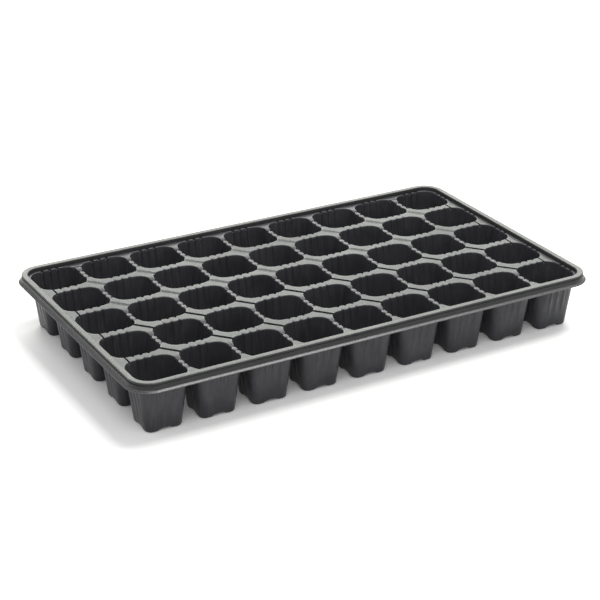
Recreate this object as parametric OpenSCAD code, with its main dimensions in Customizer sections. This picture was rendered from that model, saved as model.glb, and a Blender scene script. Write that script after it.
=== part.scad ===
// Plug tray: one thermoformed black sheet with a grid of tapered growing cells,
// a flat deck of webs between them, and a raised rim with an outer skirt and lip.
// X runs along the long side, Y along the short side, Z is up from the foot plane.

/* [Grid] */
// Cells along the long side
cols = 9; // [2:1:9]
// Cells along the short side
rows = 5; // [2:1:5]
// Spacing of cell centres along X, in mm
pitch_x = 56.7; // [56.6:0.1:70]
// Spacing of cell centres along Y, in mm
pitch_y = 58.8; // [56:0.2:70]

/* [Cells] */
// Opening of a cell along X, in mm
cell_w = 51.6; // [46:0.2:52]
// Opening of a cell along Y, in mm
cell_d = 49; // [46:0.2:52]
// Corner radius of a cell at the deck, in mm
corner_r = 13.5; // [11:0.5:14]
// Corner radius of a cell at its foot, in mm
foot_r = 6; // [5:0.5:9]
// Height of the deck above the foot plane, in mm
deck_z = 57; // [50:0.5:70]
// Thickness of the formed sheet, in mm
wall = 0.7; // [0.6:0.1:0.9]
// Radius of the groove that a flute makes in a cell wall, in mm
flute_r = 1.1; // [0.8:0.1:1.1]
// Depth of that groove at the deck, in mm
flute_deep = 0.75; // [0.5:0.05:1]
// Spacing of the three flutes on one wall, in mm
flute_gap = 8.3; // [6:0.1:9]
// Depth at which a flute has faded into the wall, in mm
flute_len = 38; // [30:1:44]
// Radius of the drain hole in the floor of a cell, in mm
drain_r = 4.5; // [3:0.5:5]
// Height of the arch between two feet of a cell, in mm
arch_h = 2.6; // [1.5:0.1:3.5]

/* [Deck] */
// Width of the flat land that a cell carries around its opening, in mm
land = 2; // [1.9:0.1:2.2]
// Width of a drainage slot in the deck, in mm
slot_w = 1.4; // [0.8:0.1:2]
// Depth of a drainage slot in the deck, in mm
slot_h = 0.5; // [0.2:0.1:0.6]
// Distance of the short border slits from the outer grid line, in mm
slit_in = 12; // [10:0.5:15]

/* [Rim] */
// Height of the rim crest above the deck, in mm
rim_h = 4; // [3:0.5:7]
// Width of the flat crest, in mm
crest_w = 6; // [3:0.1:7]
// Height of the outer skirt from the crest to the lip, in mm
skirt_h = 8.4; // [6:0.1:12]
// Width of the out-turned lip, in mm
lip_w = 2.5; // [2:0.5:5]

/* [Hidden] */
$fn = 48;
core_x = cell_w / 2 - corner_r;
core_y = cell_d / 2 - corner_r;
thin_z = deck_z - wall;
rib_r = flute_r + wall;
rib_drop = 0.35;
over = 1;
lean_in = (corner_r - foot_r) / deck_z;
floor_z = arch_h + wall;
arch_half = 7;
arc_r = (arch_half * arch_half + arch_h * arch_h) / (2 * arch_h);
well_r = 3.6;
well_out = 2;
tile_x = cell_w + 2 * land;
tile_y = cell_d + 2 * land;
web_x = pitch_x - tile_x;
web_y = pitch_y - tile_y;
run_x = (cols - 1) * pitch_x / 2 + core_x;
run_y = (rows - 1) * pitch_y / 2 + core_y;
turn_r = corner_r + land;
end_x = run_x + turn_r;
end_y = run_y + turn_r;
wall_run = 1.2;
draft = 1;
crest_z = deck_z + rim_h;
lip_z = crest_z - skirt_h;
skirt_u = wall_run + crest_w + draft;
slot_a = atan2(pitch_y / 2 - core_y, pitch_x / 2 - core_x);
slot_len = 40;

function cell_x(i) = (i - (cols - 1) / 2) * pitch_x;
function cell_y(j) = (j - (rows - 1) / 2) * pitch_y;
function cell_name(i, j) = str("cell_r", j + 1, "_c", i + 1);
cell_nodes = [for (j = [0:rows - 1]) for (i = [0:cols - 1]) cell_name(i, j)];
deck_nodes = ["row_webs", "column_webs"];
rim_nodes = ["rim_front", "rim_back", "rim_left", "rim_right"];
turn_nodes = ["rim_turn_fl", "rim_turn_fr", "rim_turn_bl", "rim_turn_br"];
lip_nodes = ["lip_sides", "lip_turns"];

module trapezium(c, ra, rb, za, zb) {
    polygon([[-c - ra, za], [c + ra, za], [c + rb, zb], [-c - rb, zb]]);
}

// A solid whose corner centres stay put while the corner radius grows with height,
// so that the four sides lean outwards. It is the cell's inner shape moved out by t.
module taper(t, za, zb) {
    ra = foot_r + lean_in * za + t;
    rb = foot_r + lean_in * zb + t;
    for (sx = [-1, 1]) {
        for (sy = [-1, 1]) {
            translate([sx * core_x, sy * core_y, za])
                cylinder(r1 = ra, r2 = rb, h = zb - za);
        }
    }
    rotate([90, 0, 0])
        linear_extrude(height = 2 * core_y, center = true)
            trapezium(core_x, ra, rb, za, zb);
    rotate([90, 0, 90])
        linear_extrude(height = 2 * core_x, center = true)
            trapezium(core_y, ra, rb, za, zb);
}

// Three round bars to a wall. They start at the opening's edge and lean in a little
// more than the wall does, so that they fade into it on the way down.
module flutes(r, top) {
    lean = atan(lean_in + flute_deep / flute_len);
    for (a = [0, 90, 180, 270]) {
        reach = ((a % 180 == 0) ? cell_w : cell_d) / 2 + flute_deep - flute_r;
        for (k = [-1:1]) {
            rotate([0, 0, a])
                translate([reach, k * flute_gap, deck_z])
                    rotate([0, lean, 0])
                        translate([0, 0, -flute_len])
                            cylinder(r = r, h = flute_len + top);
        }
    }
}

// Two crossing arched channels under the floor leave a foot in each corner.
module arches() {
    for (a = [0, 90]) {
        rotate([90, 0, a])
            translate([0, arch_h - arc_r, 0])
                cylinder(r = arc_r, h = pitch_y, center = true, $fn = 96);
    }
}

// The inside of a cell, with a well over each foot and the drain hole.
module cavity() {
    taper(0, floor_z, deck_z + over);
    flutes(flute_r, over);
    for (sx = [-1, 1]) {
        for (sy = [-1, 1]) {
            translate([sx * (core_x + well_out), sy * (core_y + well_out), wall])
                cylinder(r = well_r, h = floor_z);
        }
    }
    translate([0, 0, -over])
        cylinder(r = drain_r, h = floor_z + 2 * over);
}

// The square land around an opening; at the tray's own corners one corner is round.
module tile(sx, sy) {
    linear_extrude(height = wall) {
        if (sx == 0 || sy == 0) {
            square([tile_x, tile_y], center = true);
        } else {
            scale([sx, sy]) {
                translate([-tile_x / 2, -tile_y / 2])
                    square([tile_x, tile_y - turn_r]);
                translate([-tile_x / 2, -tile_y / 2])
                    square([tile_x - turn_r, tile_y]);
                translate([core_x, core_y])
                    circle(r = turn_r);
            }
        }
    }
}

// A drainage slot in the deck, running along X before it is turned.
module slot(length) {
    translate([0, 0, deck_z + over / 2 - slot_h / 2])
        cube([length, slot_w, slot_h + over], center = true);
}

// Diagonal slots lie on every crossing of the webs.
module diagonals() {
    for (i = [1:cols - 1]) {
        for (j = [1:rows - 1]) {
            translate([cell_x(i) - pitch_x / 2, cell_y(j) - pitch_y / 2, 0])
                rotate([0, 0, -slot_a])
                    slot(slot_len);
        }
    }
}

// Short slits cross the row webs near both ends, and the two outer column webs at the back.
module slits() {
    for (s = [-1, 1]) {
        for (j = [1:rows - 1]) {
            translate([s * (cols * pitch_x / 2 - slit_in), cell_y(j) - pitch_y / 2, 0])
                rotate([0, 0, 90])
                    slot(pitch_y / 3);
        }
        translate([s * (cols / 2 - 1) * pitch_x, rows * pitch_y / 2 - slit_in, 0])
            slot(pitch_x / 3);
    }
}

module cell(i, j) {
    sx = i == 0 ? -1 : i == cols - 1 ? 1 : 0;
    sy = j == 0 ? -1 : j == rows - 1 ? 1 : 0;
    color("dimgray")
        difference() {
            translate([cell_x(i), cell_y(j), 0])
                difference() {
                    union() {
                        taper(wall, 0, thin_z + wall / 2);
                        flutes(rib_r, -rib_drop);
                        translate([0, 0, thin_z])
                            tile(sx, sy);
                    }
                    cavity();
                    arches();
                }
            near_slots(i, j);
        }
}

// Only the slots that reach a cell's own land are cut from it.
module near_slots(i, j) {
    for (s = [-1, 1]) {
        if (i + s >= 0 && i + s < cols && j - s >= 0 && j - s < rows) {
            translate([cell_x(i) + s * pitch_x / 2, cell_y(j) - s * pitch_y / 2, 0])
                rotate([0, 0, -slot_a])
                    slot(slot_len);
        }
        side = s < 0 ? 0 : cols - 1;
        if (i == side) {
            for (t = [-1, 1]) {
                if (j + t >= 0 && j + t < rows) {
                    translate([s * (cols * pitch_x / 2 - slit_in), cell_y(j) + t * pitch_y / 2, 0])
                        rotate([0, 0, 90])
                            slot(pitch_y / 3);
                }
            }
        }
        if (j == rows - 1 && (i == side || i == side - s)) {
            translate([s * (cols / 2 - 1) * pitch_x, rows * pitch_y / 2 - slit_in, 0])
                slot(pitch_x / 3);
        }
    }
}

module row_webs() {
    color("gray")
        difference() {
            for (j = [1:rows - 1]) {
                translate([-end_x, cell_y(j) - pitch_y / 2 - web_y / 2, thin_z])
                    cube([2 * end_x, web_y, wall]);
            }
            diagonals();
            slits();
        }
}

module column_webs() {
    color("gray")
        difference() {
            for (i = [1:cols - 1]) {
                for (j = [0:rows - 1]) {
                    translate([cell_x(i) - pitch_x / 2 - web_x / 2, cell_y(j) - tile_y / 2, thin_z])
                        cube([web_x, tile_y, wall]);
                }
            }
            slits();
        }
}

// Cross-section of the rim: inner wall, flat crest and leaning outer skirt.
module rim_profile(r) {
    polygon([
        [r, thin_z],
        [r, deck_z],
        [r + wall_run, crest_z],
        [r + wall_run + crest_w, crest_z],
        [r + skirt_u, lip_z],
        [r + skirt_u - wall, lip_z],
        [r + wall_run + crest_w - wall, crest_z - wall],
        [r + wall_run + wall, crest_z - wall],
        [r + wall, thin_z]
    ]);
}

// Cross-section of the lip: a thin flange that stands out below the skirt.
module lip_profile(r) {
    translate([r + skirt_u - wall, lip_z - wall])
        square([wall + lip_w, wall]);
}

// Place a straight run on the front, right, back or left side.
module on_side(a) {
    length = a % 180 == 0 ? run_x : run_y;
    rotate([0, 0, a + 180])
        rotate([90, 0, 90])
            linear_extrude(height = 2 * length, center = true)
                children();
}

// Place a quarter turn at a corner of the tray.
module on_turn(sx, sy) {
    a = sx > 0 ? (sy > 0 ? 0 : 270) : (sy > 0 ? 90 : 180);
    translate([sx * run_x, sy * run_y, 0])
        rotate([0, 0, a])
            rotate_extrude(angle = 90, $fn = 96)
                children();
}

module rim_side(a) {
    color("darkgray")
        on_side(a)
            rim_profile(a % 180 == 0 ? end_y : end_x);
}

module rim_turn(sx, sy) {
    color("darkgray")
        on_turn(sx, sy)
            rim_profile(turn_r);
}

module lip_sides() {
    color("silver")
        for (a = [0, 90, 180, 270]) {
            on_side(a)
                lip_profile(a % 180 == 0 ? end_y : end_x);
        }
}

module lip_turns() {
    color("silver")
        for (sx = [-1, 1]) {
            for (sy = [-1, 1]) {
                on_turn(sx, sy)
                    lip_profile(turn_r);
            }
        }
}

for (j = [0:rows - 1]) {
    for (i = [0:cols - 1]) {
        cell(i, j);
    }
}
row_webs();
column_webs();
rim_side(0);  // rim_front
rim_side(90);  // rim_right
rim_side(180);  // rim_back
rim_side(270);  // rim_left
rim_turn(-1, -1);  // rim_turn_fl
rim_turn(1, -1);  // rim_turn_fr
rim_turn(-1, 1);  // rim_turn_bl
rim_turn(1, 1);  // rim_turn_br
lip_sides();
lip_turns();
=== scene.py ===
import math

import bmesh
import bpy
import numpy as np
from mathutils import Matrix, Vector


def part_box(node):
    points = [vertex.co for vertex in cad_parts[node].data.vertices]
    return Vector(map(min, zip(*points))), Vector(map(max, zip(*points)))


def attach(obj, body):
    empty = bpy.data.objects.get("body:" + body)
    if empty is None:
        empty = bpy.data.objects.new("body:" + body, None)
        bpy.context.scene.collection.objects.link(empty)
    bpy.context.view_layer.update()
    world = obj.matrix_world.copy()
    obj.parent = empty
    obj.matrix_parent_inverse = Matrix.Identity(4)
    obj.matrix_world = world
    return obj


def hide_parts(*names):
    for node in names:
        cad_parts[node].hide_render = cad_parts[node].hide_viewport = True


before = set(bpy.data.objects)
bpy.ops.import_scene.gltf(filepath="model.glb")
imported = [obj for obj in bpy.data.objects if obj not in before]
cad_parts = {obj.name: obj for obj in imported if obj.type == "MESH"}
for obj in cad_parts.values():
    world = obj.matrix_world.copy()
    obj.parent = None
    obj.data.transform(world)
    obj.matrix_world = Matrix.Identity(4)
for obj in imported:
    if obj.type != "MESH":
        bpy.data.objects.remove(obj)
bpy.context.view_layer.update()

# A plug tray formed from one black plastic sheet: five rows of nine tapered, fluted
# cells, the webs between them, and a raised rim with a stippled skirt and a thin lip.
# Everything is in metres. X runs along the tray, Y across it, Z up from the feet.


def middle(node):
    """The middle of a part's box."""
    low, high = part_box(node)
    return (low + high) / 2


# ---------------------------------------------------------------- sizes

COLUMNS = 9
ROWS = 5
PITCH_X = (middle("cell_r1_c9").x - middle("cell_r1_c1").x) / (COLUMNS - 1)
PITCH_Y = (middle("cell_r5_c1").y - middle("cell_r1_c1").y) / (ROWS - 1)
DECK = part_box("row_webs")[1].z
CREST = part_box("rim_front")[1].z
SHEET_END_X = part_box("row_webs")[1].x
SHEET_END_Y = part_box("rim_back")[0].y
LIP_EDGE_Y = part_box("lip_sides")[1].y
LIP_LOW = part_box("lip_sides")[0].z
SHEET = 0.0007

# A cell's four corner curves are centred here, from the middle of the cell.
CURVE_X = 0.0123
CURVE_Y = 0.0110
CURVE_AT_DECK = 0.0135
CURVE_AT_FOOT = 0.0060
WALL_LEAN = (CURVE_AT_DECK - CURVE_AT_FOOT) / DECK

# The edge of an opening is rolled over. Each wall has three flutes that fade downwards.
ROLL = 0.0008
FLUTE_GAP = 0.0083
FLUTE_HALF = 0.0017
FLUTE_DEEP = 0.0016
FLUTE_FADE = 0.044

# The deck dips at the mouth of each flute.
MOUTH = 0.0002
MOUTH_REACH = 0.0016

# Marks pressed into the deck: half widths of the bottom and of the top, depth and half
# length. They fade out on the walls of the cells that they reach.
SLOT = (0.00170, 0.00195, 0.0028, 0.0137)
SOFT_DIP = (0.0006, 0.0028, 0.0009, 0.0130)
SIDE_SLIT = (0.00070, 0.00095, 0.0024, 0.0080)
BACK_SLIT = (0.00070, 0.00095, 0.0024, 0.0060)
GROOVE_FADE = 0.011

# The slits stop this far inside the outer edge of the grid. The lines between rows have
# sharp slots up to the second line from the front, and soft dips behind it.
SLIT_INSET = 0.012
SLOTTED_LINES = 2

# Between two neighbours of a row the narrow web was drawn down a little. The sag is full
# up to the first number and gone at the second, along the web and across it.
WEB_SAG = 0.0015
SAG_ALONG = (0.0065, 0.0145)
SAG_ACROSS = (0.0042, 0.0060)
SAG_FADE = 0.018

# Beside the rim the flutes cut right through the narrow strip of deck. A cut is full up
# to the first number from its middle and gone at the second. The strip's outer edge is
# tucked under the rim's wall.
STRIP_CUT = 0.0021
STRIP_CUT_HALF = (0.0009, 0.0018)
STRIP_CUT_FADE = 0.010
TUCK = 0.0003

# The floor has a drain hole, and arches between its four corner feet.
FOOT_ROUND = 0.0022
ARCH_HIGH = 0.0021
ARCH_HALF = 0.0084
DRAIN = 0.0045

# Where the rings of points lie along each stretch of a cell, from its start to its end,
# and how strong the painted highlight and polish on the rolled edge are from the deck down to
# the wall.
DECK_STEPS = (0.0, 0.4, 0.75)
WALL_STEPS = (0.03, 0.08, 0.15, 0.23, 0.32, 0.42, 0.53, 0.65, 0.78, 0.9, 1.0)
FLOOR_STEPS = (0.16, 0.34, 0.54, 0.76, 1.0)
EDGE_HIGHLIGHT = (0.5, 1.0, 1.0, 0.6, 0.2)

# How far out from the rim's inner wall the foot of its skirt and its lip stand.
SKIRT_FOOT = 0.0080
LIP_OUT = LIP_EDGE_Y - SHEET_END_Y
LIP_TOP = LIP_LOW + SHEET

# How far the inner wall goes on below the deck, and the radius of its corners.
HIDDEN = 0.0030
RIM_TURN = CURVE_AT_DECK + 0.002
RIM_TURN_STEPS = 18

# How strong the painted highlight (a paler colour, with more polish) is on the rim's crest and
# on the foot of its skirt, and how far that reaches.
CREST_HIGHLIGHT, CREST_HIGHLIGHT_REACH = 0.3, 0.0006
LIP_HIGHLIGHT, LIP_HIGHLIGHT_REACH = 1.0, 0.0016

# Points closer than this are one: in the row of cells, in the rim and on a scored line.
WELD = 0.00001
RIM_WELD = 0.000001
SCORE_WELD = 0.00002


def smooth(low, high, value):
    """0 below low, 1 above high, and an even curve between."""
    t = np.clip((value - low) / (high - low), 0.0, 1.0)
    return t * t * (3.0 - 2.0 * t)


# ---------------------------------------------------------------- node helpers


def start_tree(name, sizes):
    """A shaping tree with a geometry input and output, and named inputs for its sizes."""
    tree = bpy.data.node_groups.new(name, "GeometryNodeTree")
    face = tree.interface
    face.new_socket(name="Geometry", in_out="INPUT", socket_type="NodeSocketGeometry")
    for label, kind in sizes.items():
        face.new_socket(name=label, in_out="INPUT", socket_type=kind)
    face.new_socket(name="Geometry", in_out="OUTPUT", socket_type="NodeSocketGeometry")
    return tree


def add(tree, kind, way=None, **sockets):
    """A node working in the given way, with its sockets set to values or joined to other
    nodes' outputs."""
    node = tree.nodes.new(kind)
    for label, value in (way or {}).items():
        setattr(node, label, value)
    for label, value in sockets.items():
        socket = node.inputs[label.replace("_", " ")]
        if isinstance(value, bpy.types.NodeSocket):
            tree.links.new(value, socket)
        else:
            socket.default_value = value
    return node


def grown(thing, tree, sizes):
    """The plain mesh that a shaping tree makes of thing."""
    modifier = thing.modifiers.new(tree.name, "NODES")
    modifier.node_group = tree
    for item in tree.interface.items_tree:
        if item.item_type == "SOCKET" and item.in_out == "INPUT" and item.name in sizes:
            modifier[item.identifier] = sizes[item.name]
    return settled(thing)


def settled(thing):
    """The plain mesh of thing with its modifiers worked out; the modifiers are removed."""
    bpy.context.view_layer.update()
    graph = bpy.context.evaluated_depsgraph_get()
    mesh = bpy.data.meshes.new_from_object(thing.evaluated_get(graph), depsgraph=graph)
    thing.modifiers.clear()
    return mesh


def new_thing(name, data):
    """An object at the origin for a mesh, a light or a camera."""
    thing = bpy.data.objects.new(name, data)
    bpy.context.scene.collection.objects.link(thing)
    return thing


def places(mesh):
    """The places of the mesh's points, one row for each."""
    co = np.zeros(len(mesh.vertices) * 3, np.float32)
    mesh.vertices.foreach_get("co", co)
    return co.reshape(-1, 3).astype(float)


def put_places(mesh, co):
    """Moves the mesh's points to the given places."""
    mesh.vertices.foreach_set("co", co.astype(np.float32).ravel())
    mesh.update()


def set_polish_and_highlight(mesh, values):
    """Stores how strongly each point gets a painted highlight (a paler colour) and extra
    polish, for the materials.
    """
    mesh.attributes.new("rolled", "FLOAT", "POINT").data.foreach_set("value", values)


def shade(mesh, degrees):
    """Round shading, with edges sharper than the angle kept crisp."""
    mesh.polygons.foreach_set("use_smooth", [True] * len(mesh.polygons))
    mesh.set_sharp_from_angle(angle=math.radians(degrees))


# ---------------------------------------------------------------- black sheet plastic


def black_sheet(name, colour, rough, grain, streaks, stipple, spec, highlight_factor):
    """Formed black plastic: mottled tone, faint draw lines down the walls, a fine
    surface grain or stipple, and rolled edges that are polished and carry a painted
    highlight, a colour paler than the base by the given factor. Grain and stipple are heights."""
    material = bpy.data.materials.new(name)
    material.use_nodes = True
    tree = material.node_tree
    tree.nodes.clear()
    out = tree.nodes.new("ShaderNodeOutputMaterial")
    body = tree.nodes.new("ShaderNodeBsdfPrincipled")
    tree.links.new(body.outputs["BSDF"], out.inputs["Surface"])
    where = tree.nodes.new("ShaderNodeTexCoord").outputs["Object"]

    def join(value, socket):
        if isinstance(value, bpy.types.NodeSocket):
            tree.links.new(value, socket)
        else:
            socket.default_value = value

    def tinted(factor):
        return (*[c * factor for c in colour], 1)

    def noise(scale, detail, roughness=0.55, stretch=(1, 1, 1)):
        mapping = add(tree, "ShaderNodeMapping", Vector=where, Scale=stretch)
        return add(tree, "ShaderNodeTexNoise", Vector=mapping.outputs["Vector"], Scale=scale,
                   Detail=detail, Roughness=roughness).outputs["Fac"]

    def remap(value, low, high, to_low, to_high):
        return add(tree, "ShaderNodeMapRange", Value=value, From_Min=low, From_Max=high,
                   To_Min=to_low, To_Max=to_high).outputs["Result"]

    def reckon(kind, first, second):
        node = add(tree, "ShaderNodeMath", {"operation": kind})
        join(first, node.inputs[0])
        join(second, node.inputs[1])
        return node.outputs[0]

    def mixed(factor, first, second, blend="MIX"):
        # A colour mix has its factor, first and second colour in sockets 0, 6 and 7.
        node = add(tree, "ShaderNodeMix", {"data_type": "RGBA", "blend_type": blend})
        for value, place in ((factor, 0), (first, 6), (second, 7)):
            join(value, node.inputs[place])
        return node.outputs[2]

    mottle = noise(38.0, 5.0)
    cloud = noise(9.0, 3.0)
    lines = noise(300.0, 3.0, stretch=(1, 1, 0.03))
    fine = noise(2600.0, 3.0, 0.6)
    specks = noise(1100.0, 2.0, 0.7)
    bumps = add(tree, "ShaderNodeTexVoronoi", Vector=where, Scale=900.0).outputs["Distance"]
    edge = add(tree, "ShaderNodeAttribute", {"attribute_name": "rolled"}).outputs["Fac"]

    # Tone: base colour, mottled, with a painted highlight along the rolled edges (a paler
    # colour broken up by fine noise), paler draw lines, and darker and paler grains where the
    # sheet is stippled.
    tone = add(tree, "ShaderNodeValToRGB", Fac=mottle)
    for stop, position, factor in zip(tone.color_ramp.elements, (0.30, 0.72), (0.78, 1.30)):
        stop.position = position
        stop.color = tinted(factor)
    # Painted highlight: the rolled edges are mixed towards a paler colour, in noisy patches.
    broken_highlight = reckon("MULTIPLY", edge, remap(fine, 0.42, 0.62, 0.35, 1.0))
    painted_sheen = mixed(broken_highlight, tone.outputs["Color"], tinted(highlight_factor))
    drawn = reckon("MULTIPLY", remap(lines, 0.50, 0.66, 0.0, 1.0), streaks)
    streaked = mixed(drawn, painted_sheen, tinted(2.2))
    contrast = 5000 * stipple
    grains = remap(specks, 0.35, 0.65, 1.0 - contrast, 1.0 + contrast)
    join(mixed(1.0, streaked, grains, "MULTIPLY"), body.inputs["Base Color"])

    # Gloss: satin, uneven, and more polished where the sheet was rolled over.
    uneven = reckon("ADD", remap(cloud, 0.3, 0.7, rough - 0.05, rough + 0.05),
                    remap(fine, 0.35, 0.65, -0.03, 0.04))
    polished = reckon("SUBTRACT", uneven, reckon("MULTIPLY", edge, 0.12))
    join(polished, body.inputs["Roughness"])

    # Relief: grain, draw lines and, on the skirt, a pebbled stipple.
    ridges = reckon("MULTIPLY", lines, 0.00005 * streaks)
    pebbles = reckon("MULTIPLY", bumps, stipple)
    height = reckon("ADD", reckon("MULTIPLY", fine, grain), reckon("ADD", ridges, pebbles))
    bump = add(tree, "ShaderNodeBump", Height=height, Strength=1.0, Distance=1.0)
    join(bump.outputs["Normal"], body.inputs["Normal"])

    body.inputs["Metallic"].default_value = 0.0
    body.inputs["IOR"].default_value = 1.5
    body.inputs["Specular IOR Level"].default_value = spec
    return material


# The last factor is a painted highlight: the cells' rolled edges are painted 2.4 times paler,
# the rim's lip and crest up to 8 times paler.
cell_black = black_sheet("satin_black_cells", colour=(0.0330, 0.0330, 0.0370), rough=0.36,
                         grain=0.00001, streaks=0.25, stipple=0.0, spec=0.24, highlight_factor=2.4)
rim_black = black_sheet("stippled_black_rim", colour=(0.0145, 0.0145, 0.0155), rough=0.40,
                        grain=0.00002, streaks=0.1, stipple=0.00009, spec=0.38, highlight_factor=8.0)


# ---------------------------------------------------------------- one cell of the sheet


def side_stations(half):
    """Places along one straight wall: close together over each flute, open between."""
    over = FLUTE_HALF * np.array([-1.0, -0.72, -0.38, 0.0, 0.38, 0.72, 1.0])
    return np.concatenate([[-half], over - FLUTE_GAP, [-FLUTE_GAP / 2], over, [FLUTE_GAP / 2],
                           over + FLUTE_GAP, [half]])


def cell_plan():
    """For each point round a cell: the hub it stands off from, its outward direction,
    how much of a flute it carries, and where it lands on the edge of the cell's tile."""
    hubs, outs, flute, edge = [], [], [], []
    for quarter in range(4):
        along = quarter % 2 == 0
        reach, half = (CURVE_X, CURVE_Y) if along else (CURVE_Y, CURVE_X)
        tile_out, tile_side = (PITCH_X, PITCH_Y) if along else (PITCH_Y, PITCH_X)
        tile_out, tile_side = tile_out / 2, tile_side / 2
        turn = np.linalg.matrix_power(np.array([[0, -1], [1, 0]]), quarter)
        for s in side_stations(half):
            off = min(abs(s - k * FLUTE_GAP) for k in (-1, 0, 1)) / FLUTE_HALF
            hubs.append(turn @ (reach, s))
            outs.append(turn @ (1.0, 0.0))
            flute.append(max(1.0 - off * off, 0.0) ** 0.8)
            edge.append(turn @ (tile_out, s))
        tip = math.atan2(tile_side - half, tile_out - reach)
        angles = [tip * k / 4 for k in (1, 2, 3, 4)]
        angles += [tip + (math.pi / 2 - tip) * k / 4 for k in (1, 2, 3)]
        for a in angles:
            out = np.array([math.cos(a), math.sin(a)])
            far = min((tile_out - reach) / out[0], (tile_side - half) / out[1])
            hubs.append(turn @ (reach, half))
            outs.append(turn @ out)
            flute.append(0.0)
            edge.append(turn @ (np.array([reach, half]) + out * far))
    return np.array(hubs), np.array(outs), np.array(flute), np.array(edge)


def floor_rise(xy):
    """Height of the arches between the feet under a point of the floor."""
    x = 1.0 - np.clip(np.abs(xy[:, 0]) / ARCH_HALF, 0, 1) ** 3
    y = 1.0 - np.clip(np.abs(xy[:, 1]) / ARCH_HALF, 0, 1) ** 3
    return ARCH_HIGH * (1.0 - (1.0 - x) * (1.0 - y))


def cell_rings():
    """Rings of points from the edge of the tile, over the rolled edge, down the fluted
    wall, round into the floor and in to the drain hole, with the strength of each ring's
    painted highlight."""
    hubs, outs, flute, edge = cell_plan()
    rings, highlight_strengths = [], []

    def ring(radius, depth):
        groove = FLUTE_DEEP * np.clip(1.0 - depth / FLUTE_FADE, 0, 1)
        return hubs + outs * (radius + groove * flute)[:, None]

    def keep(flat, z, painted_sheen=0.0):
        rings.append(np.c_[flat, z])
        highlight_strengths.append(painted_sheen)

    full = math.pi / 2 - math.atan(WALL_LEAN)
    wall_top = DECK - ROLL + ROLL * math.cos(full)
    centre = CURVE_AT_FOOT + WALL_LEAN * wall_top + ROLL * math.sin(full)

    # The flat deck, from the edge of the tile to where the sheet starts to roll over.
    start = ring(centre, 0.0)
    for t in DECK_STEPS:
        flat = edge + (start - edge) * t
        off = np.linalg.norm(flat - start, axis=1)
        keep(flat, DECK - MOUTH * flute * (1 - smooth(0, MOUTH_REACH, off)))

    # The rolled edge, which carries the painted highlight.
    for k, painted_sheen in enumerate(EDGE_HIGHLIGHT):
        a = full * k / (len(EDGE_HIGHLIGHT) - 1)
        z = DECK - ROLL + ROLL * math.cos(a)
        keep(ring(centre - ROLL * math.sin(a), DECK - z), z - MOUTH * flute, painted_sheen)

    # The wall, down to the bend above the floor.
    low = SHEET + floor_rise(hubs + outs * (CURVE_AT_FOOT - FOOT_ROUND))
    for t in WALL_STEPS:
        z = wall_top + (low + FOOT_ROUND - wall_top) * t
        dip = MOUTH * flute * (1 - smooth(0, 0.2, t))
        keep(ring(CURVE_AT_FOOT + WALL_LEAN * z, DECK - z), z - dip)

    # The bend into the floor, where the flutes have ended.
    bend = CURVE_AT_FOOT + WALL_LEAN * (low + FOOT_ROUND) - FOOT_ROUND
    for k in (1, 2, 3, 4):
        a = math.pi / 2 * k / 4
        z = low + FOOT_ROUND - FOOT_ROUND * math.sin(a)
        keep(ring(bend + FOOT_ROUND * math.cos(a), DECK), z)

    # The floor, in to the drain hole.
    last = rings[-1][:, :2]
    hole = last / np.linalg.norm(last, axis=1)[:, None] * DRAIN
    for t in FLOOR_STEPS:
        flat = last + (hole - last) * t
        keep(flat, SHEET + floor_rise(flat))
    return rings, highlight_strengths


def cell_tile():
    """The sheet of one cell and the deck around it, as an open surface."""
    rings, highlight_strengths = cell_rings()
    count = len(rings[0])
    faces = []
    for k in range(len(rings) - 1):
        above, below = k * count, (k + 1) * count
        for i in range(count):
            j = (i + 1) % count
            faces.append((above + i, above + j, below + j, below + i))
    mesh = bpy.data.meshes.new("one_cell")
    mesh.from_pydata(np.vstack(rings).tolist(), [], faces)
    set_polish_and_highlight(mesh, np.repeat(highlight_strengths, count))
    return mesh


# ---------------------------------------------------------------- a row of cells


def row_tree():
    """Repeats a cell along X, centred on the origin, welds the copies and dresses them."""
    tree = start_tree("row_of_cells", {
        "Cells": "NodeSocketInt", "Spacing": "NodeSocketFloat",
        "Weld": "NodeSocketFloat", "Plastic": "NodeSocketMaterial"})
    given = tree.nodes.new("NodeGroupInput").outputs
    step = add(tree, "ShaderNodeCombineXYZ", X=given["Spacing"])

    # The first cell stands (1 - Cells) / 2 steps from the origin.
    steps_off = add(tree, "ShaderNodeMath", {"operation": "MULTIPLY_ADD"})
    tree.links.new(given["Cells"], steps_off.inputs[0])
    steps_off.inputs[1].default_value = -0.5
    steps_off.inputs[2].default_value = 0.5
    first = add(tree, "ShaderNodeVectorMath", {"operation": "SCALE"}, Vector=step.outputs[0],
                Scale=steps_off.outputs[0])

    line = add(tree, "GeometryNodeMeshLine", Count=given["Cells"],
               Start_Location=first.outputs[0], Offset=step.outputs[0])
    copies = add(tree, "GeometryNodeInstanceOnPoints", Points=line.outputs[0],
                 Instance=given["Geometry"])
    real = add(tree, "GeometryNodeRealizeInstances", Geometry=copies.outputs[0])
    weld = add(tree, "GeometryNodeMergeByDistance", Geometry=real.outputs[0],
               Distance=given["Weld"])
    dress = add(tree, "GeometryNodeSetMaterial", Geometry=weld.outputs[0],
                Material=given["Plastic"])
    add(tree, "NodeGroupOutput", Geometry=dress.outputs[0])
    return tree


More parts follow.
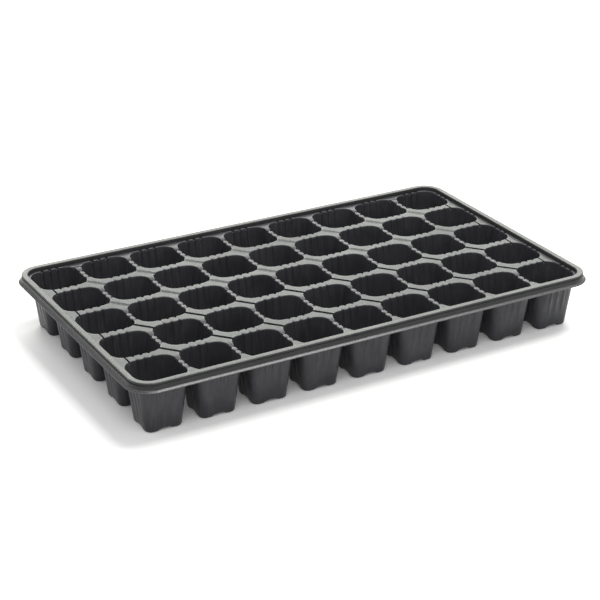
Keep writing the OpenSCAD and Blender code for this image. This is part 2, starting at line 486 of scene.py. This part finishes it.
def row_grooves(row):
    """The drainage marks pressed into the deck along this row's two long edges: place,
    direction, half widths of the bottom and of the top, depth and half length."""
    marks = []
    slant = -math.atan2(PITCH_Y / 2 - CURVE_Y, PITCH_X / 2 - CURVE_X)
    for border in (row, row + 1):
        if border in (0, ROWS):
            continue
        y = (border - ROWS / 2) * PITCH_Y
        junction = SLOT if border <= SLOTTED_LINES else SOFT_DIP
        for i in range(1, COLUMNS):
            marks.append(((i - COLUMNS / 2) * PITCH_X, y, slant, *junction))
        for side in (-1, 1):
            x = side * (COLUMNS / 2 * PITCH_X - SLIT_INSET)
            marks.append((x, y, math.pi / 2, *SIDE_SLIT))
    if row == ROWS - 1:
        y = ROWS / 2 * PITCH_Y - SLIT_INSET
        for side in (-1, 1):
            marks.append((side * (COLUMNS / 2 - 1) * PITCH_X, y, 0.0, *BACK_SLIT))
    return marks


def press_grooves(mesh, marks):
    """Scores the deck along each mark, then presses the mark down."""
    margin = 0.003
    work = bmesh.new()
    work.from_mesh(mesh)
    top = [f for f in work.faces if f.calc_center_median().z > DECK - GROOVE_FADE]
    spots = np.array([f.calc_center_median()[:2] for f in top])
    for x, y, angle, low, high, _, half in marks:
        near = np.nonzero(np.hypot(spots[:, 0] - x, spots[:, 1] - y) < half + margin)[0]
        faces = {top[k] for k in near if top[k].is_valid}
        across = Vector((-math.sin(angle), math.cos(angle), 0))
        for off in (-high, -low, low, high):
            geom = list(faces) + list({e for f in faces for e in f.edges})
            geom += list({v for f in faces for v in f.verts})
            cut = bmesh.ops.bisect_plane(
                work, geom=geom, dist=SCORE_WELD, plane_no=across,
                plane_co=Vector((x, y, 0)) + across * off)
            faces |= {g for g in cut["geom"] if isinstance(g, bmesh.types.BMFace)}
            faces = {f for f in faces if f.is_valid}
    work.to_mesh(mesh)
    work.free()

    co = places(mesh)
    high_up = smooth(DECK - GROOVE_FADE, DECK - ROLL, co[:, 2])
    drop = np.zeros(len(co))
    for x, y, angle, low, high, depth, half in marks:
        dx, dy = co[:, 0] - x, co[:, 1] - y
        side = np.abs(-dx * math.sin(angle) + dy * math.cos(angle))
        along = np.abs(dx * math.cos(angle) + dy * math.sin(angle))
        press = depth * (1 - smooth(low, high, side)) * (along < half)
        drop = np.maximum(drop, press)
    co[:, 2] -= drop * high_up
    put_places(mesh, co)


def round_to_row(y):
    """The middle line of the row that y lies in."""
    shift = (ROWS - 1) / 2 * PITCH_Y
    return np.round((y + shift) / PITCH_Y) * PITCH_Y - shift


def sag_webs(mesh):
    """Lowers the narrow webs between neighbouring cells of the row at their middles."""
    co = places(mesh)
    y = np.abs(co[:, 1] - round_to_row(co[:, 1]))
    border = np.round(co[:, 0] / PITCH_X + COLUMNS / 2)
    x = np.abs(co[:, 0] - (border - COLUMNS / 2) * PITCH_X)
    inner = (border > 0) & (border < COLUMNS)
    sag = WEB_SAG * inner * (1 - smooth(*SAG_ALONG, y)) * (1 - smooth(*SAG_ACROSS, x))
    co[:, 2] -= sag * smooth(DECK - SAG_FADE, DECK, co[:, 2])
    put_places(mesh, co)


def fit_border(mesh, row):
    """Draws the outer edge of the deck in, so that it ends just under the rim's wall,
    with round corners at the corners of the tray."""
    co = places(mesh)
    start = CURVE_AT_DECK + ROLL
    out_x = np.abs(co[:, 0]) - (COLUMNS - 1) / 2 * PITCH_X - CURVE_X
    side_y = -1 if row == 0 else 1
    out_y = side_y * co[:, 1] - (ROWS - 1) / 2 * PITCH_Y - CURVE_Y
    if 0 < row < ROWS - 1:
        out_y = np.full(len(co), -1.0)
    tile_x, tile_y = PITCH_X / 2 - CURVE_X, PITCH_Y / 2 - CURVE_Y
    end_x = SHEET_END_X + TUCK - (COLUMNS - 1) / 2 * PITCH_X - CURVE_X
    end_y = SHEET_END_Y + TUCK - (ROWS - 1) / 2 * PITCH_Y - CURVE_Y

    def drawn(value, far, end):
        moved = start + (value - start) * (end - start) / (far - start)
        return np.where(value > start, moved, value)

    corner = (out_x > 0) & (out_y > 0)
    new_x, new_y = drawn(out_x, tile_x, end_x), drawn(out_y, tile_y, end_y)
    radius = np.hypot(out_x, out_y) + 1e-12
    cos, sin = np.abs(out_x) / radius, np.abs(out_y) / radius
    far = np.minimum(tile_x / np.maximum(cos, 1e-6), tile_y / np.maximum(sin, 1e-6))
    end = end_x * cos ** 2 + end_y * sin ** 2
    bent = drawn(radius, far, end)
    new_x = np.where(corner, bent * cos, new_x)
    new_y = np.where(corner, bent * sin, new_y)
    co[:, 0] += np.sign(co[:, 0]) * np.where(out_x > 0, new_x - out_x, 0)
    if row in (0, ROWS - 1):
        co[:, 1] += side_y * np.where(out_y > 0, new_y - out_y, 0)

    # Along the rim the flutes cut right through the narrow strip of deck.
    y = co[:, 1] - round_to_row(co[:, 1])
    x = co[:, 0] - np.round(co[:, 0] / PITCH_X) * PITCH_X
    wall = CURVE_AT_DECK - ROLL
    for beside, along in ((out_x > wall, y), (out_y > wall, x)):
        near = np.min([np.abs(along - k * FLUTE_GAP) for k in (-1, 0, 1)], axis=0)
        cut = beside * (1 - smooth(*STRIP_CUT_HALF, near)) * STRIP_CUT
        co[:, 2] -= cut * smooth(DECK - STRIP_CUT_FADE, DECK - ROLL, co[:, 2])
    put_places(mesh, co)


def cells_row(row, tile, tree):
    """One row of cells with the deck around them, in its place in the tray."""
    seed = new_thing("row_seed", tile.copy())
    mesh = grown(seed, tree, {"Cells": COLUMNS, "Spacing": PITCH_X, "Weld": WELD,
                              "Plastic": cell_black})
    bpy.data.objects.remove(seed)
    mesh.transform(Matrix.Translation((0, (row - (ROWS - 1) / 2) * PITCH_Y, 0)))
    press_grooves(mesh, row_grooves(row))
    sag_webs(mesh)
    fit_border(mesh, row)

    # So far this is the sheet's upper face. The thickness is added under it, and no foot
    # goes below the ground.
    piece = new_thing(f"cells_row_{row + 1}", mesh)
    wall = piece.modifiers.new("sheet", "SOLIDIFY")
    wall.thickness = SHEET
    wall.offset = -1
    wall.use_even_offset = True
    wall.use_quality_normals = True
    piece.data = settled(piece)
    co = places(piece.data)
    co[:, 2] = np.maximum(co[:, 2], 0.0)
    put_places(piece.data, co)
    shade(piece.data, 38)
    return piece


one_cell = cell_tile()
repeat_cells = row_tree()
row_pieces = [cells_row(row, one_cell, repeat_cells) for row in range(ROWS)]


# ---------------------------------------------------------------- the rim


def rounded(corners):
    """A line through the corners, each (out, up, radius, steps), with its bends rounded."""
    points = []
    for k, (u, z, radius, steps) in enumerate(corners):
        here = np.array([u, z])
        if radius == 0:
            points.append(here)
            continue
        before = np.array(corners[k - 1][:2]) - here
        after = np.array(corners[(k + 1) % len(corners)][:2]) - here
        before, after = before / np.linalg.norm(before), after / np.linalg.norm(after)
        half = math.acos(np.clip(before @ after, -1, 1)) / 2
        mid = (before + after) / np.linalg.norm(before + after)
        centre = here + mid * radius / math.sin(half)
        first = here + before * radius / math.tan(half) - centre
        last = here + after * radius / math.tan(half) - centre
        turn = math.atan2(first[0] * last[1] - first[1] * last[0], first @ last)
        for s in range(steps + 1):
            a = turn * s / steps
            points.append(centre + np.array([first[0] * math.cos(a) - first[1] * math.sin(a),
                                             first[0] * math.sin(a) + first[1] * math.cos(a)]))
    return points


def rim_section():
    """The rim's section as a closed line: outwards over the outside, then back within."""
    return rounded([
        # The inner wall, which starts out of sight below the deck.
        (0.0000, DECK - HIDDEN, 0, 0),
        (0.0000, DECK, 0, 0),
        # The crest, a hair lower along its middle.
        (0.0011, CREST, 0.0009, 4),
        (0.0042, CREST - 0.00005, 0, 0),
        (0.0073, CREST, 0.0008, 5),
        # The fine groove under the crest.
        (0.0074, CREST - 0.0012, 0.0002, 2),
        (0.0065, CREST - 0.0014, 0.0002, 2),
        (0.0066, CREST - 0.0026, 0.0002, 2),
        (0.0075, CREST - 0.0028, 0.0003, 2),
        # The skirt, which sweeps out into the lip.
        (SKIRT_FOOT, LIP_TOP + 0.0012, 0.0012, 6),
        (LIP_OUT, LIP_TOP, 0.0003, 2),
        (LIP_OUT, LIP_LOW, 0.0003, 2),
        # The inner face of the same sheet.
        (SKIRT_FOOT - SHEET, LIP_LOW + 0.0009, 0.0010, 4),
        (0.0067, CREST - 0.0040, 0, 0),
        (0.0058, CREST - 0.0034, 0, 0),
        (0.0058, CREST - 0.0015, 0, 0),
        (0.0064, CREST - SHEET, 0.0002, 2),
        (0.0017, CREST - SHEET, 0.0003, 2),
        (SHEET, DECK - HIDDEN, 0, 0),
    ])


def rim_tree():
    """Sweeps a section round a rectangle with round corners and dresses it."""
    tree = start_tree("rim_round_the_tray", {
        "Length": "NodeSocketFloat", "Width": "NodeSocketFloat", "Corner": "NodeSocketFloat",
        "Corner Steps": "NodeSocketInt", "Plastic": "NodeSocketMaterial"})
    given = tree.nodes.new("NodeGroupInput").outputs
    outline = add(tree, "GeometryNodeCurvePrimitiveQuadrilateral", Width=given["Length"],
                  Height=given["Width"])
    turned = add(tree, "GeometryNodeFilletCurve", {"mode": "POLY"}, Curve=outline.outputs[0],
                 Count=given["Corner Steps"], Radius=given["Corner"])
    section = add(tree, "GeometryNodeMeshToCurve", Mesh=given["Geometry"])
    swept = add(tree, "GeometryNodeCurveToMesh", Curve=turned.outputs[0],
                Profile_Curve=section.outputs[0])
    real = add(tree, "GeometryNodeRealizeInstances", Geometry=swept.outputs[0])
    dress = add(tree, "GeometryNodeSetMaterial", Geometry=real.outputs[0],
                Material=given["Plastic"])
    add(tree, "NodeGroupOutput", Geometry=dress.outputs[0])
    return tree


def make_rim():
    """The raised rim with its skirt and lip, in one piece round the tray."""
    section = rim_section()
    count = len(section)
    mesh = bpy.data.meshes.new("rim_section")
    mesh.from_pydata([(u, -z, 0.0) for u, z in section],
                     [(k, (k + 1) % count) for k in range(count)], [])
    seed = new_thing("rim_seed", mesh)
    mesh = grown(seed, rim_tree(), {
        "Length": 2 * SHEET_END_X, "Width": 2 * SHEET_END_Y, "Corner": RIM_TURN,
        "Corner Steps": RIM_TURN_STEPS, "Plastic": rim_black})
    bpy.data.objects.remove(seed)

    work = bmesh.new()
    work.from_mesh(mesh)
    bmesh.ops.remove_doubles(work, verts=work.verts, dist=RIM_WELD)
    bmesh.ops.recalc_face_normals(work, faces=work.faces)
    work.to_mesh(mesh)
    work.free()

    # The crest and the foot of the skirt with its lip get a painted highlight and extra
    # polish.
    z = places(mesh)[:, 2]
    on_crest = np.abs(z - CREST) < CREST_HIGHLIGHT_REACH
    on_lip = z < LIP_TOP + LIP_HIGHLIGHT_REACH
    set_polish_and_highlight(mesh, on_crest * CREST_HIGHLIGHT + on_lip * LIP_HIGHLIGHT)
    shade(mesh, 40)
    return new_thing("rim", mesh)


rim = make_rim()


# ---------------------------------------------------------------- floor, light, camera

FLOOR_TONE = 0.93
FLOOR_GLOW = 0.09
FLOOR_HALF = 12
ROOM_GLOW = 0.58

# Soft panels: name, place, what it faces, width, height, power and tint.
PANELS = (
    ("panel_behind", (1.15, 1.95, 1.25), (0, 0, 0), 2.6, 1.3, 54, (0.97, 1.0, 0.92)),
    ("panel_above", (0.45, 0.0, 1.5), (0.1, 0, 0), 0.8, 0.9, 24, (1.0, 1.0, 0.97)),
    ("panel_front", (-0.8, -1.2, 1.9), (0, 0, 0), 1.0, 1.0, 14, (1.0, 1.0, 1.0)),
)

# The camera: turn about the tray from its front, height angle and roll in degrees, the
# point that it faces, its distance from it and its lens in millimetres.
CAMERA_ANGLES = (30.0, 25.0, 0.37)
CAMERA_AIM = (0.0272, 0.05405, 0.0)
CAMERA_FAR = 1.8619
CAMERA_LENS = 101.98


def pale_floor():
    """A wide matte floor under the feet, which isn't part of the object."""
    material = bpy.data.materials.new("pale_floor")
    material.use_nodes = True
    sockets = material.node_tree.nodes["Principled BSDF"].inputs
    sockets["Base Color"].default_value = (FLOOR_TONE, FLOOR_TONE, FLOOR_TONE, 1)
    sockets["Roughness"].default_value = 0.9
    sockets["Emission Color"].default_value = (1, 1, 1, 1)
    sockets["Emission Strength"].default_value = FLOOR_GLOW
    mesh = bpy.data.meshes.new("floor")
    end = FLOOR_HALF
    corners = [(-end, -end, 0), (end, -end, 0), (end, end, 0), (-end, end, 0)]
    mesh.from_pydata(corners, [], [(0, 1, 2, 3)])
    mesh.materials.append(material)
    return new_thing("floor", mesh)


floor = pale_floor()


def soft_panel(name, place, aim, width, height, watts, tint):
    """A large soft light that faces its aim and isn't itself seen."""
    data = bpy.data.lights.new(name, "AREA")
    data.shape = "RECTANGLE"
    data.size, data.size_y = width, height
    data.energy = watts
    data.color = tint
    panel = new_thing(name, data)
    panel.location = place
    panel.rotation_mode = "QUATERNION"
    panel.rotation_quaternion = (Vector(aim) - Vector(place)).to_track_quat("-Z", "Y")
    panel.visible_camera = False


for panel in PANELS:
    soft_panel(*panel)

room = bpy.data.worlds.new("pale_room")
room.use_nodes = True
room.node_tree.nodes["Background"].inputs["Color"].default_value = (1, 1, 1, 1)
room.node_tree.nodes["Background"].inputs["Strength"].default_value = ROOM_GLOW
bpy.context.scene.world = room
bpy.context.scene.view_settings.view_transform = "Standard"
bpy.context.scene.view_settings.look = "None"


def place_camera():
    """The camera that looks at the tray from its front left."""
    turn, lift, roll = map(math.radians, CAMERA_ANGLES)
    back = Vector((-math.sin(turn) * math.cos(lift), -math.cos(turn) * math.cos(lift),
                   math.sin(lift)))
    right = (-back).cross(Vector((0, 0, 1))).normalized()
    up = right.cross(-back)
    right, up = (right * math.cos(roll) + up * math.sin(roll),
                 up * math.cos(roll) - right * math.sin(roll))
    data = bpy.data.cameras.new("camera")
    data.sensor_width = 36.0
    data.lens = CAMERA_LENS
    camera = new_thing("camera", data)
    camera.matrix_world = Matrix((right, up, back)).transposed().to_4x4()
    camera.location = Vector(CAMERA_AIM) + back * CAMERA_FAR
    bpy.context.scene.camera = camera


place_camera()


# ---------------------------------------------------------------- riding and standing in

for row, piece in enumerate(row_pieces):
    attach(piece, "root")
    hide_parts(*[f"cell_r{row + 1}_c{i + 1}" for i in range(COLUMNS)],
                "row_webs", "column_webs")
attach(rim, "root")
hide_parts("rim_front", "rim_back", "rim_left", "rim_right", "rim_turn_fl", "rim_turn_fr",
            "rim_turn_bl", "rim_turn_br", "lip_sides", "lip_turns")
